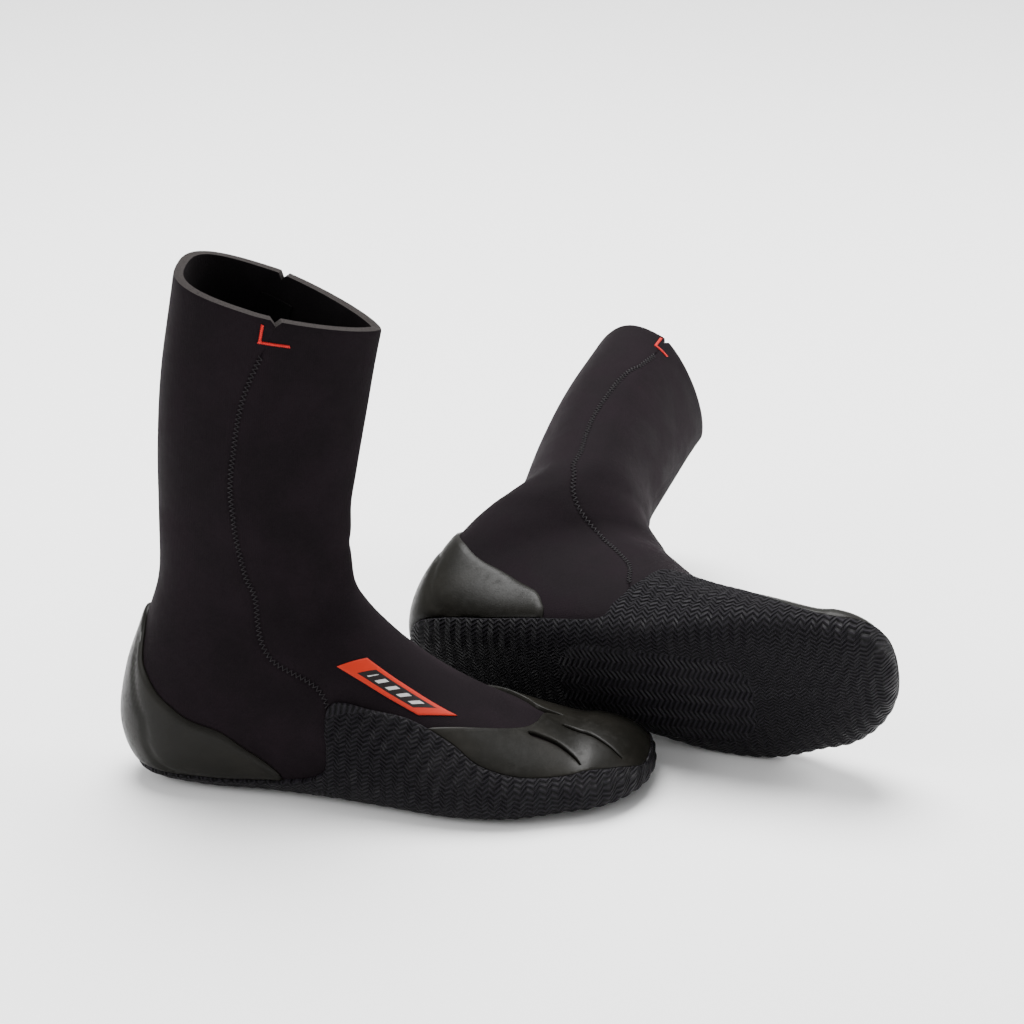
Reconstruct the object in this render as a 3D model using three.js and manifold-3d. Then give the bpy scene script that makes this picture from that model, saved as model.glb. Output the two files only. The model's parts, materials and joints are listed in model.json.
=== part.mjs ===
// A pair of neoprene surf boots, right and left, as separate sewn and glued pieces.
// Millimetres, +Z up. Each boot is drawn on a last: "station" runs from the toe tip (0) round the
// heel and up the leg to the collar (20), and "turn" goes round the last in degrees, from 0 under
// the sole and up the calf line to 180 on top of the foot and down the shin, plus on the outer side.
import * as THREE from 'three';
import { ParametricGeometry } from 'three/addons/geometries/ParametricGeometry.js';
import { mergeGeometries, mergeVertices } from 'three/addons/utils/BufferGeometryUtils.js';
import Module from 'manifold-3d';

const wasm = await Module();
wasm.setup();

// Driving dimensions of one boot.
const footLength = 277;       // neoprene, back of heel to toe tip
const legHeight = 285;        // floor to the back of the collar
const ballWidth = 98;         // neoprene, widest across the ball of the foot
const legWidth = 76;          // neoprene, across the leg at the collar
const neoprene = 5;           // upper and sole panel
const outsoleThick = 3;
const toeCapThick = 2;
const heelPatchThick = 1.8;
const insoleThick = 3;
const tapeThick = 0.8;
const tapeWidth = 18;
const stitchHeight = 1.2;
const stitchWidth = 6;
const tackThick = 1;
const tackWidth = 3;
const labelThick = 0.6;
const labelWidth = 17;
const gap = 0.3;              // clearance between pieces that touch

// The last as it is first drawn; the sizes above stretch it.
const drawnLength = 277;
const drawnHeight = 285;
const drawnBall = 98;
const drawnLeg = 76;
const ankleHeight = 118;      // above this the leg stretches with legHeight
const ankleStation = 12;      // from here on the widths follow legWidth
const collarStation = 20;
const ankleLow = 14;          // stations where the flexing ankle zone starts and ends
const ankleHigh = 16.5;
const columns = 16;           // facets round the last
const facet = 360 / columns;  // degrees

// Toe box in front of this place, drawn as a rounded nose.
const toeBox = { x: 236, top: 43.5, bottom: 3.4, tipZ: 17, outer: 46, inner: 44 };
const noseRows = 5;

// Sections of the last: front or top point, back or bottom point, half widths on the outer and
// inner side, sideways shift, roundness exponents of the top and bottom half, and skew: how far
// the widest place sits below the middle.
const section = (front, back, outer, inner, shift, top, bottom, skew) =>
  ({ front, back, outer, inner, shift, top, bottom, skew });
const bodySections = [
  section([236, 43.5], [236, 3.2], 46, 44, -2, 2.1, 3.1, 0.22),
  section([206, 53], [208, 1.7], 51, 47, 0, 2, 3.2, 0.3),
  section([177, 66], [176, 1.7], 50, 44, 1.5, 1.9, 3.2, 0.34),
  section([153, 80], [143, 2.1], 44, 39, 2, 1.85, 3.1, 0.32),
  section([136, 94], [110, 2.5], 39, 36, 1.5, 1.85, 3, 0.28),
  section([127, 105], [76, 2.1], 36, 34, 0.5, 1.85, 2.8, 0.22),
  section([124, 111], [42, 1.9], 35, 33, 0, 1.85, 2.7, 0.16),
  section([123, 116], [13, 7.3], 34, 33, 0, 1.85, 2.5, 0.1),
  section([122.5, 121], [1.5, 29.3], 34, 33, 0, 1.85, 2.2, 0.08),
  section([122.2, 126], [5, 60.3], 34, 33, 0.5, 1.85, 2.1, 0.08),
  section([122, 132], [15, 90.3], 34, 33, 1, 1.8, 2.1, 0.08),
  section([122.7, 144], [22, 118.3], 34, 34, 2, 1.75, 2.1, 0.1),
  section([125, 165], [23.5, 149.3], 35, 35, 4, 1.7, 2.1, 0.12),
  section([129, 192], [25.5, 188.3], 36, 36, 6.5, 1.65, 2.2, 0.15),
  section([135, 223], [29.5, 234.3], 37, 37, 9, 1.6, 2.4, 0.16),
  section([141.5, 254], [38, 285.3], 38, 38, 12, 1.5, 2.7, 0.14),
];

// How each boot stands or lies. The right one stands; the left one has been laid over on its outer
// edge, sole outwards, and its soft leg has opened round the other way.
const boots = [
  { name: 'right', side: -1, tilt: [0, 0, -6], place: [-204, 0], squeeze: 1, twist: 0, lean: 0, flex: 0 },
  {
    name: 'left', side: 1, tilt: [-70.5, -3, -20], place: [-65.5, 57.5],
    squeeze: 0.75, twist: 26, lean: 5, flex: -8,
  },
];
// Bigger boots lie further apart.
const spread = Math.max(footLength / drawnLength, ballWidth / drawnBall, 1);
const flexCentre = { x: 86, z: 100 };
const flexSpan = [78, 138];   // heights between which the leg turns away from the foot
const leanHeight = 90;        // the leg leans sideways above this
const twistLine = 74;         // x of the line that a leg twists about
const squeezeSpan = [11, 17]; // stations between which the leg's squeeze comes in
const pressedStation = 13;    // the floor presses the layers flat up to this station

const rad = THREE.MathUtils.degToRad;
const smooth = (value, from, to) => THREE.MathUtils.smoothstep(value, from, to);

function noseSections() {
  const list = [];
  for (let i = 0; i < noseRows; i += 1) {
    const swell = Math.sin(rad(90 * i / noseRows));
    const reach = Math.cos(rad(90 * i / noseRows));
    const size = swell ** 0.92;
    const x = toeBox.x + (drawnLength - toeBox.x) * reach;
    list.push(section(
      [x, toeBox.tipZ + (toeBox.top - toeBox.tipZ) * size],
      [x, toeBox.tipZ - (toeBox.tipZ - toeBox.bottom) * swell ** 0.8],
      toeBox.outer * size, toeBox.inner * size, -7 * reach ** 1.2 - 2, 2.1, 2.2 + 0.9 * size, 0.18 * size,
    ));
  }
  return list;
}

// The sections stretched to the driving sizes. A squeezed leg keeps its girth.
function lastSections(squeeze) {
  return [...noseSections(), ...bodySections].map((drawn, station) => {
    const across = station < ankleStation ? ballWidth / drawnBall : legWidth / drawnLeg;
    const amount = 1 + (squeeze - 1) * smooth(station, ...squeezeSpan);
    const stretch = ([x, z]) => new THREE.Vector2(
      x * footLength / drawnLength,
      Math.min(z, ankleHeight)
        + Math.max(z - ankleHeight, 0) * (legHeight - ankleHeight) / (drawnHeight - ankleHeight),
    );
    const front = stretch(drawn.front);
    const back = stretch(drawn.back);
    const middle = front.clone().add(back).multiplyScalar(0.5);
    const half = front.distanceTo(back) / 2;
    const widen = (width) => Math.sqrt((width * across) ** 2 + half ** 2 * (1 - amount ** 2));
    return {
      ...drawn,
      front: middle.clone().lerp(front, amount),
      back: middle.clone().lerp(back, amount),
      outer: widen(drawn.outer),
      inner: widen(drawn.inner),
    };
  });
}

// A smooth value between sections, by a Catmull-Rom curve through four of them.
function between(sections, station, pick) {
  const last = sections.length - 1;
  const i = Math.min(Math.floor(station), last - 1);
  const value = (k) => pick(sections[THREE.MathUtils.clamp(k, 0, last)]);
  const before = i > 0 ? value(i - 1) : 2 * value(0) - value(1);
  const after = i + 2 <= last ? value(i + 2) : 2 * value(last) - value(last - 1);
  const f = station - i;
  const [a, b, c, d] = [before, value(i), value(i + 1), after];
  return 0.5 * (2 * b + (c - a) * f + (2 * a - 5 * b + 4 * c - d) * f ** 2
    + (3 * b - a - 3 * c + d) * f ** 3);
}

const power = (value, exponent) => Math.sign(value) * Math.abs(value) ** exponent;

// A point of the bare last, standing straight, outer side towards +Y.
function lastPoint(sections, station, turn) {
  const at = (pick) => between(sections, Math.max(station, 0), pick);
  const c = -Math.cos(rad(turn));
  const s = Math.sin(rad(turn));
  const round = 2 / at((q) => (c < 0 ? q.bottom : q.top));
  const rise = power(c, round);
  const q = rise - at((v) => v.skew) * (1 - rise * rise);
  const width = s > 0 ? at((v) => v.outer) : at((v) => v.inner);
  const mix = (axis) => (at((v) => v.front[axis]) * (1 + q) + at((v) => v.back[axis]) * (1 - q)) / 2;
  return new THREE.Vector3(mix('x'), at((v) => v.shift) + power(s, round) * width, mix('y'));
}

// Height of the neoprene's lower face over the floor, so that the outsole lies flat on it.
const soleHeight = outsoleThick + gap;

// A point lifted off the last's surface. Underfoot every layer is pressed flat.
function liftedPoint(sections, station, turn, lift) {
  const p = lastPoint(sections, station, turn);
  const e = 1e-3;             // a small step, in stations and in radians of turn
  const ahead = lastPoint(sections, station + e, turn);
  const along = ahead.sub(lastPoint(sections, station - e, turn));
  const onward = lastPoint(sections, station, turn + THREE.MathUtils.radToDeg(e));
  const round = onward.sub(lastPoint(sections, station, turn - THREE.MathUtils.radToDeg(e)));
  const atTip = station < 0.02;
  const normal = atTip ? new THREE.Vector3(1, 0, 0) : along.cross(round).normalize();
  p.addScaledVector(normal, lift);
  if (station < pressedStation) p.z = Math.max(p.z, soleHeight - lift);
  return p;
}

// Twist, sideways lean and forward flex of a soft leg over its foot.
function pose(p, boot) {
  const share = smooth(p.z, ...flexSpan);
  const height = Math.max(p.z - leanHeight, 0);
  const axis = new THREE.Vector3(0, 0, 1);
  const centre = new THREE.Vector3(twistLine, 0, 0);
  p.sub(centre).applyAxisAngle(axis, rad(boot.twist) * share).add(centre);
  p.y += Math.tan(rad(boot.lean)) * height;
  const hinge = new THREE.Vector3(flexCentre.x, 0, flexCentre.z);
  const bend = smooth(p.z, ...flexSpan) * rad(boot.flex);
  return p.sub(hinge).applyAxisAngle(new THREE.Vector3(0, 1, 0), bend).add(hinge);
}

// One boot's shape: the point at a station and turn, lifted, posed and put in place.
function makeShape(boot) {
  const sections = lastSections(boot.squeeze);
  const euler = new THREE.Euler(...boot.tilt.map(rad), 'ZYX');
  const put = new THREE.Matrix4().makeRotationFromEuler(euler);
  put.setPosition(boot.place[0] * spread, boot.place[1] * spread, 0);
  put.multiply(new THREE.Matrix4().makeScale(1, boot.side, 1));
  return (station, turn, lift, slide = 0) => {
    const p = liftedPoint(sections, station, turn, lift);
    if (slide) {
      const ahead = liftedPoint(sections, station + 0.01, turn, lift);
      const behind = liftedPoint(sections, station - 0.01, turn, lift);
      p.addScaledVector(ahead.sub(behind).normalize(), slide);
    }
    return pose(p, boot).applyMatrix4(put);
  };
}

// Rows of facets between two stations: at the whole stations and at the ends of the ankle zone.
const allRows = [...new Set([...Array(collarStation).keys(), ankleLow, ankleHigh])]
  .sort((a, b) => a - b);
const rowsBetween = (from, to) =>
  [from, ...allRows.filter((station) => station > from + 0.2 && station < to - 0.2), to];

// A manifold solid from a closed three.js geometry, whichever way its faces point.
function toSolid(geometry) {
  geometry.deleteAttribute('normal');
  geometry.deleteAttribute('uv');
  const merged = mergeVertices(geometry, 1e-4);
  const corners = merged.index.array;
  const kept = [];
  for (let i = 0; i < corners.length; i += 3) {
    const [a, b, c] = corners.slice(i, i + 3);
    if (a !== b && b !== c && c !== a) kept.push(a, b, c);
  }
  const build = (triVerts) => new wasm.Manifold(new wasm.Mesh({
    numProp: 3,
    vertProperties: merged.attributes.position.array,
    triVerts: new Uint32Array(triVerts),
  }));
  const solid = build(kept);
  return solid.volume() > 0 ? solid : build(kept.reverse());
}

// A sheet of points on whole rows and columns; turned over, it faces the other way.
function sheet(slices, stacks, pointAt, over) {
  const geometry = new ParametricGeometry(
    (u, v, target) => target.copy(pointAt(Math.round(u * slices), Math.round(v * stacks))),
    slices,
    stacks,
  );
  if (over) geometry.setIndex(Array.from(geometry.index.array).reverse());
  return geometry;
}

// A layer of the boot between two lifts: closed round the last, or a strip between two turns.
function layer(shape, { from = 0, to = collarStation, turns = [-180, 180], low, high }) {
  const rows = rowsBetween(from, to);
  const last = rows.length - 1;
  const wraps = turns[1] - turns[0] === 360;
  const across = Math.round(columns * (turns[1] - turns[0]) / 360);
  const slideOf = (row) => {
    if (row === 0 && from > 0) return gap / 2;
    return row === last && to < collarStation ? -gap / 2 : 0;
  };
  const at = (column, row, lift) => {
    const turn = turns[0] + (turns[1] - turns[0]) * column / across;
    return shape(rows[row], turn === 180 ? -180 : turn, lift, slideOf(row));
  };
  const lifts = [low, high];
  const sheets = [
    sheet(across, last, (c, r) => at(c, r, high), false),
    sheet(across, last, (c, r) => at(c, r, low), true),
    sheet(across, 1, (c, k) => at(c, last, lifts[k]), true),
  ];
  if (from > 0) sheets.push(sheet(across, 1, (c, k) => at(c, 0, lifts[k]), false));
  if (!wraps) {
    sheets.push(sheet(1, last, (k, r) => at(0, r, lifts[k]), false));
    sheets.push(sheet(1, last, (k, r) => at(across, r, lifts[k]), true));
  }
  return toSolid(mergeGeometries(sheets));
}

// A smooth line on the last through [station, turn] points.
function lineOn(points) {
  const scale = 10;           // degrees of turn that weigh as much as one station
  const vectors = points.map(([station, turn]) => new THREE.Vector3(station, turn / scale, 0));
  const curve = new THREE.CatmullRomCurve3(vectors, false, 'centripetal');
  return curve.getPoints(Math.round(points.length * 1.5)).map((p) => [p.x, p.y * scale]);
}

// A closed bar that follows a line on the last, of a width and between two lifts. A ring's line
// ends where it starts.
function barAlong(shape, line, width, low, high, ring = false) {
  const centre = line.map(([station, turn]) => shape(station, turn, 0));
  const last = line.length - 1;
  const index = (i) => (ring ? (i + last) % last : THREE.MathUtils.clamp(i, 0, last));
  const corner = (i, side, lift) => {
    const [station, turn] = line[index(i)];
    const along = centre[index(i + 1)].clone().sub(centre[index(i - 1)]);
    const out = shape(station, turn, 1).sub(shape(station, turn, 0));
    const aside = along.cross(out).normalize().multiplyScalar(side * width / 2);
    return shape(station, turn, lift).add(aside);
  };
  const lifts = [low, high];
  const sides = [-1, 1];
  const sheets = [
    sheet(1, last, (k, i) => corner(i, 1, lifts[k]), false),
    sheet(1, last, (k, i) => corner(i, -1, lifts[k]), true),
    sheet(1, last, (k, i) => corner(i, sides[k], high), true),
    sheet(1, last, (k, i) => corner(i, sides[k], low), false),
  ];
  if (!ring) {
    sheets.push(sheet(1, 1, (k, j) => corner(last, sides[k], lifts[j]), false));
    sheets.push(sheet(1, 1, (k, j) => corner(0, sides[k], lifts[j]), true));
  }
  return toSolid(mergeGeometries(sheets));
}

// Thin blades cut right through a layer and leave the seam's gap.
const bladeLow = -9;
const bladeHigh = 7;
const blade = (shape, line, ring) => barAlong(shape, line, gap, bladeLow, bladeHigh, ring);

// The piece of a cut layer that reaches nearest to a place on the last.
function pieceAt(solid, place) {
  let best = null;
  let nearest = Infinity;
  for (const piece of solid.decompose()) {
    const { vertProperties, numProp } = piece.getMesh();
    for (let i = 0; i < vertProperties.length; i += numProp) {
      const distance = place.distanceTo(new THREE.Vector3(...vertProperties.slice(i, i + 3)));
      if (distance < nearest) {
        nearest = distance;
        best = piece;
      }
    }
  }
  return best;
}

// Lines on the last, each as [station, turn] points from the collar down or round the boot.
const outerSeam = [[20.4, 111], [19.9, 108], [18.7, 93], [17.5, 89], [15.9, 98], [15, 106],
  [12.5, 114], [9.9, 116], [9.3, 104], [9, 78], [8.9, 47]];
const innerSeam = [[20.4, -101], [19.5, -98], [18.8, -86], [18.1, -79], [17.2, -73], [16, -76],
  [14.5, -102], [13.1, -117], [11.4, -125], [9.3, -118], [8.7, -100], [8.4, -75], [8.3, -47]];
const soleEdge = [[1.3, 0], [1.8, 38], [3.5, 50], [6.5, 54], [9, 50], [11, 44], [11.8, 24],
  [11.95, 0], [11.8, -24], [11, -44], [9, -50], [6.5, -54], [3.5, -50], [1.8, -38], [1.3, 0]];
const insoleEdge = [[2.4, 0], [2.8, 26], [4, 36], [6.5, 41], [9, 37], [10.8, 30], [11.3, 14],
  [11.35, 0], [11.3, -14], [10.8, -30], [9, -37], [6.5, -41], [4, -36], [2.8, -26], [2.4, 0]];
const outsoleEdge = [[1, 180], [1.15, 145], [1.6, 121], [2.9, 123], [4.4, 122], [5.6, 114],
  [6.4, 117], [7, 127], [7.6, 129], [8.6, 121], [9.4, 114], [9.35, 98], [9.1, 80], [9.7, 58],
  [11.2, 41], [11.9, 28], [12.2, 0], [11.9, -28], [11.2, -41], [9.8, -52], [8.8, -60],
  [8.6, -80], [8.4, -100], [8.1, -126], [7.4, -129], [6.7, -124], [6, -106], [5.3, -94],
  [3.9, -88], [2.8, -94], [1.6, -116], [1.15, -145], [1, -180]];
const toeCapEdge = [[8, 122], [7.5, 131], [6.4, 143], [5.9, 154], [5.55, 170], [5.5, 180],
  [5.55, 190], [5.9, 206], [6.3, 218], [6.7, 230], [7, 238]];
const heelPatchEdge = [[9.3, 40], [9.9, 66], [10.6, 77], [11.6, 81], [12.8, 68], [13.6, 52],
  [14.2, 36], [14.9, 18], [15.15, 0], [14.9, -18], [14.2, -36], [13.6, -52], [12.8, -68],
  [11.6, -81], [10.4, -78], [9.9, -64], [9.4, -40]];
const labelLine = [[9.35, 136.5], [8.2, 138], [7, 137.5]];
const tackDrop = 0.32;        // stations from the collar down to a bar tack
const tackReach = 0.2;        // stations that its short leg runs up towards the collar
const tackHalf = 9;           // degrees of turn to each side of the seam
const tackLegTurn = 8;        // where the short leg sits
const tapeTop = 19.8;         // stations and turn between which the seam tape runs
const tapeEndTurn = 66;
const seamStart = 8;          // stations between which stitching and tape run
const seamEnd = 19.9;
const tackLow = 18;           // a bar tack lies above this station

const upperColour = 0x1c161a;
const outsoleColour = 0x17181c;
const rubberColour = 0x3a3a33;
const finish = (color, roughness) => ({ color, roughness, metalness: 0 });
const finishes = {
  neoprene: finish(upperColour, 0.9),
  lining: finish(0x151417, 0.95),
  outsole: finish(outsoleColour, 0.75),
  rubber: finish(rubberColour, 0.45),
  thread: finish(0x0f0e10, 0.9),
  red: finish(0xc0392f, 0.8),
  label: finish(0xd8431f, 0.6),
};

function addPiece(group, name, solid, finishName) {
  const { vertProperties, triVerts } = solid.getMesh();
  const geometry = new THREE.BufferGeometry();
  geometry.setAttribute('position', new THREE.BufferAttribute(vertProperties, 3));
  geometry.setIndex(new THREE.BufferAttribute(triVerts, 1));
  const mesh = new THREE.Mesh(geometry, new THREE.MeshStandardMaterial(finishes[finishName]));
  mesh.name = name;
  group.add(mesh);
}

// The neoprene upper, in three zones up the boot, cut along the side seams and the sole edge.
function addUpper(group, boot, shape, seams) {
  const zones = [['foot', 0, ankleLow], ['ankle', ankleLow, ankleHigh], ['shaft', ankleHigh, collarStation]];
  const soleBlade = blade(shape, lineOn(soleEdge), true);
  const cuts = seams.map(({ line }) => blade(shape, line));
  for (const [zone, from, to] of zones) {
    let upper = layer(shape, { from, to, low: -neoprene, high: 0 });
    for (const cut of cuts) upper = upper.subtract(cut);
    if (zone === 'foot') upper = upper.subtract(soleBlade);
    const row = zone === 'foot' ? ankleLow - 1 : from + 1;
    const station = Math.min(Math.round(row), to);
    addPiece(group, `${boot.name}_front_panel_${zone}`, pieceAt(upper, shape(station, 180, 0)), 'neoprene');
    addPiece(group, `${boot.name}_rear_panel_${zone}`, pieceAt(upper, shape(station, 0, 0)), 'neoprene');
    if (zone === 'foot') {
      addPiece(group, `${boot.name}_sole_panel`, pieceAt(upper, shape(7, 0, 0)), 'neoprene');
    }
  }
}

function addInsole(group, boot, shape) {
  const top = -neoprene - gap;
  const board = layer(shape, {
    from: 1, to: 12, turns: [-3 * facet, 3 * facet], low: top - insoleThick, high: top,
  });
  const cut = board.subtract(blade(shape, lineOn(insoleEdge), true));
  addPiece(group, `${boot.name}_insole`, pieceAt(cut, shape(7, 0, top)), 'lining');
}

// The moulded rubber: outsole with its side flaps, toe cap and heel patch. Returns the blades round
// the outsole and behind the toe cap.
function addRubber(group, boot, shape) {
  const rim = blade(shape, lineOn(outsoleEdge), true);
  const footLayer = (thick) => layer(shape, { to: ankleHigh, low: gap, high: gap + thick });
  const outsole = pieceAt(footLayer(outsoleThick).subtract(rim), shape(7, 0, gap));
  const capBlade = blade(shape, lineOn(toeCapEdge));
  const cap = footLayer(toeCapThick).subtract(rim).subtract(capBlade);
  const patchBlade = blade(shape, lineOn(heelPatchEdge));
  const patch = footLayer(heelPatchThick).subtract(rim).subtract(patchBlade);
  addPiece(group, `${boot.name}_outsole`, outsole, 'outsole');
  addPiece(group, `${boot.name}_toe_cap`, pieceAt(cap, shape(3, 180, gap)), 'rubber');
  addPiece(group, `${boot.name}_heel_patch`, pieceAt(patch, shape(13, 0, gap)), 'rubber');
  return [rim, capBlade];
}

// Seam stitching outside, glued tape inside, and the red bar tack under the collar.
function addSeam(group, boot, shape, seam, rim) {
  const { name, line, side } = seam;
  const start = collarStation - tackDrop;
  const turns = side > 0 ? [0, 180] : [-180, 0];
  const face = gap;
  const sideLayer = (from, to, low, high) => layer(shape, { from, to, turns, low, high });
  const below = line.filter(([station]) => station < start - tackReach);
  const ridge = sideLayer(seamStart, seamEnd, face, face + stitchHeight)
    .intersect(barAlong(shape, below, stitchWidth, bladeLow, bladeHigh))
    .subtract(rim);
  const stitching = pieceAt(ridge, shape(...line.find(([station]) => station < 17), face));
  addPiece(group, `${boot.name}_${name}_stitching`, stitching, 'thread');

  const inside = -neoprene - gap;
  const taped = line.filter(([station, turn]) => station < tapeTop && Math.abs(turn) > tapeEndTurn);
  const tape = sideLayer(seamStart, seamEnd, inside - tapeThick, inside)
    .intersect(barAlong(shape, taped, tapeWidth, bladeLow, bladeHigh));
  addPiece(group, `${boot.name}_${name}_seam_tape`, tape, 'lining');

  const turn = line.find(([station]) => station < start)[1];
  const bars = [
    [[start, turn - side * tackHalf], [start, turn + side * tackHalf]],
    [[start, turn - side * tackLegTurn], [start + tackReach, turn - side * tackLegTurn]],
  ].map((bar) => barAlong(shape, bar, tackWidth, bladeLow, bladeHigh));
  const tack = sideLayer(tackLow, seamEnd, face, face + tackThick)
    .intersect(bars[0].add(bars[1]));
  addPiece(group, `${boot.name}_${name}_bar_tack`, tack, 'red');
}

function addLabel(group, boot, shape, blades) {
  let label = layer(shape, { from: 6, to: 11, turns: [90, 180], low: gap, high: gap + labelThick })
    .intersect(barAlong(shape, lineOn(labelLine), labelWidth, bladeLow, bladeHigh));
  for (const cut of blades) label = label.subtract(cut);
  addPiece(group, `${boot.name}_instep_label`, pieceAt(label, shape(8.2, 138, gap)), 'label');
}

const pair = new THREE.Group();
for (const boot of boots) {
  const shape = makeShape(boot);
  const seams = [
    { name: 'lateral', side: 1, line: lineOn(outerSeam) },
    { name: 'medial', side: -1, line: lineOn(innerSeam) },
  ];
  const one = new THREE.Group();
  addUpper(one, boot, shape, seams);
  addInsole(one, boot, shape);
  const [rim, capBlade] = addRubber(one, boot, shape);
  for (const seam of seams) addSeam(one, boot, shape, seam, rim);
  addLabel(one, boot, shape, [rim, capBlade]);
  one.position.z = -new THREE.Box3().setFromObject(one).min.z;
  pair.add(one);
}

// The pair's origin is under the middle of its bounding box, on the floor.
const box = new THREE.Box3().setFromObject(pair);
const middle = box.getCenter(new THREE.Vector3());
pair.position.set(-middle.x, -middle.y, -box.min.z);

const group = new THREE.Group();
group.add(pair);
export default group;
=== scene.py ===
# %% [markdown]
# # A pair of neoprene surf boots
# Each boot is a foam upper in a front and a rear panel, sewn down both sides, with a moulded rubber
# outsole, toe cap and heel patch glued over it. One boot stands, the other lies on its side. The
# imported model is loaded first, because many pieces here are attached to one of its bodies.

# %% Load the frame
import json
import math

import bmesh
import bpy
import numpy as np
from mathutils import Euler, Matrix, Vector
from mathutils.geometry import delaunay_2d_cdt


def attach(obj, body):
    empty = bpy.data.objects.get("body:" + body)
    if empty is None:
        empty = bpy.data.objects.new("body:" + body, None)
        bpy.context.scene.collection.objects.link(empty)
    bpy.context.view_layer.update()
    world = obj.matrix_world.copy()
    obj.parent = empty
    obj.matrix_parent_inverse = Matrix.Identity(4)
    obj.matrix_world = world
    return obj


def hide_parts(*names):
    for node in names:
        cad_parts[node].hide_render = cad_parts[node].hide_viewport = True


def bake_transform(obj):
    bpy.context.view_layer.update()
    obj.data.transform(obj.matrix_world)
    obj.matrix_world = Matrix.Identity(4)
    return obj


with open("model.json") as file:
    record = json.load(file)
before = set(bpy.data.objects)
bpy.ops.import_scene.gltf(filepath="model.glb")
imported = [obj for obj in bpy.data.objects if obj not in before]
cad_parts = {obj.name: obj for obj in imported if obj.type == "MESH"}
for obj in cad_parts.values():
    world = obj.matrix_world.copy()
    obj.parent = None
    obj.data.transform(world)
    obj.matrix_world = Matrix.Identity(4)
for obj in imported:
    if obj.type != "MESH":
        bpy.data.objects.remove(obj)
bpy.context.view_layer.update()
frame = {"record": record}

joints = {joint["name"]: joint for joint in frame["record"]["behaviour"]["joints"]}

# %% [markdown]
# ## The last
# A boot is built over a last, a form with the shape of a foot and leg. It could be sculpted, but a
# table of cross sections is easier to correct: each row gives a front point, a back point and two
# half widths in millimetres. A "station" counts the rows from the toe tip (0) to the collar (20).
# A "turn" goes round a section in degrees, 0 under the sole and 180 on top of the foot.

# %% Sections of the last
TOE_BOX_X, TOE_TIP_X, TIP_Z = 236.0, 277.0, 11.5
SOLE_HEIGHT = 3.3
BODY_SECTIONS = [
    # front x, z    back x, z     outer inner shift top  bottom skew
    (236, 32, 236, 3.2, 44, 42, -3, 2.1, 3.1, 0.18),
    (206, 43, 208, 1.7, 51, 47, 0, 2, 3.2, 0.26),
    (177, 60, 176, 1.7, 50, 44, 1.5, 1.9, 3.2, 0.34),
    (153, 78, 143, 2.1, 44, 39, 2, 1.85, 3.1, 0.32),
    (136, 94, 110, 2.5, 39, 36, 1.5, 1.85, 3, 0.28),
    (127, 105, 76, 2.1, 36, 34, 0.5, 1.85, 2.8, 0.22),
    (124, 111, 42, 1.9, 35, 33, 0, 1.85, 2.7, 0.16),
    (123, 116, 13, 7.3, 34, 33, 0, 1.85, 2.5, 0.1),
    (122.5, 121, 1.5, 29.3, 34, 33, 0, 1.85, 2.2, 0.08),
    (122.2, 126, 5, 60.3, 34, 33, 0.5, 1.85, 2.1, 0.08),
    (122, 132, 15, 90.3, 34, 33, 1, 1.8, 2.1, 0.08),
    (122.7, 144, 22, 118.3, 34, 34, 2, 1.75, 2.1, 0.1),
    (125, 165, 23.5, 149.3, 35, 35, 4, 1.7, 2.1, 0.12),
    (129, 192, 25.5, 188.3, 36, 36, 6.5, 1.65, 2.2, 0.15),
    (135, 223, 29.5, 234.3, 37, 37, 9, 1.6, 2.4, 0.16),
    (141.5, 254, 38, 285.3, 38, 38, 12, 1.5, 2.7, 0.14),
]


def smooth(value, low, high):
    share = np.clip((np.asarray(value, float) - low) / (high - low), 0, 1)
    return share * share * (3 - 2 * share)


def nose_sections():
    rows = []
    for step in range(5):
        swell = math.sin(math.radians(18 * step))
        reach = math.cos(math.radians(18 * step))
        size = swell ** 0.92
        x = TOE_BOX_X + (TOE_TIP_X - TOE_BOX_X) * reach
        rows.append((x, TIP_Z + 20.5 * size, x, TIP_Z - 8.1 * swell ** 0.8, 44 * size, 42 * size,
                     -9 * reach ** 1.2 - 3, 2.1, 2.2 + 0.9 * size, 0.18 * size))
    return rows


def last_sections(squeeze):
    """The table as columns. A squeezed leg is flatter from front to back and keeps its girth."""
    table = np.array(nose_sections() + BODY_SECTIONS, float)
    amount = 1 + (squeeze - 1) * smooth(np.arange(len(table)), 11, 17)
    front, back = table[:, 0:2], table[:, 2:4]
    middle = (front + back) / 2
    half = np.linalg.norm(front - back, axis=1) / 2
    table[:, 0:2] = middle + (front - middle) * amount[:, None]
    table[:, 2:4] = middle + (back - middle) * amount[:, None]
    for column in (4, 5):
        table[:, column] = np.sqrt(table[:, column] ** 2 + half ** 2 * (1 - amount ** 2))
    return table


print("last:", len(last_sections(1)), "sections")

# %% [markdown]
# ## A point on the last
# Between two rows a Catmull-Rom curve runs through the neighbours, so the form has no kinks. Each
# section is a rounded box, and `lift` moves a point out along the surface normal: this is how foam,
# rubber and thread are stacked on one another. Underfoot every layer is pressed flat by the floor.

# %% Points and lifts
def between(values, station):
    last = len(values) - 1
    i = np.clip(np.floor(station).astype(int), 0, last - 1)
    f = station - i
    pick = lambda k: values[np.clip(k, 0, last)]
    before = np.where(i > 0, pick(i - 1), 2 * values[0] - values[1])
    after = np.where(i + 2 <= last, pick(i + 2), 2 * values[last] - values[last - 1])
    here, ahead = pick(i), pick(i + 1)
    return 0.5 * (2 * here + (ahead - before) * f
                  + (2 * before - 5 * here + 4 * ahead - after) * f ** 2
                  + (3 * here - before - 3 * ahead + after) * f ** 3)


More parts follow.
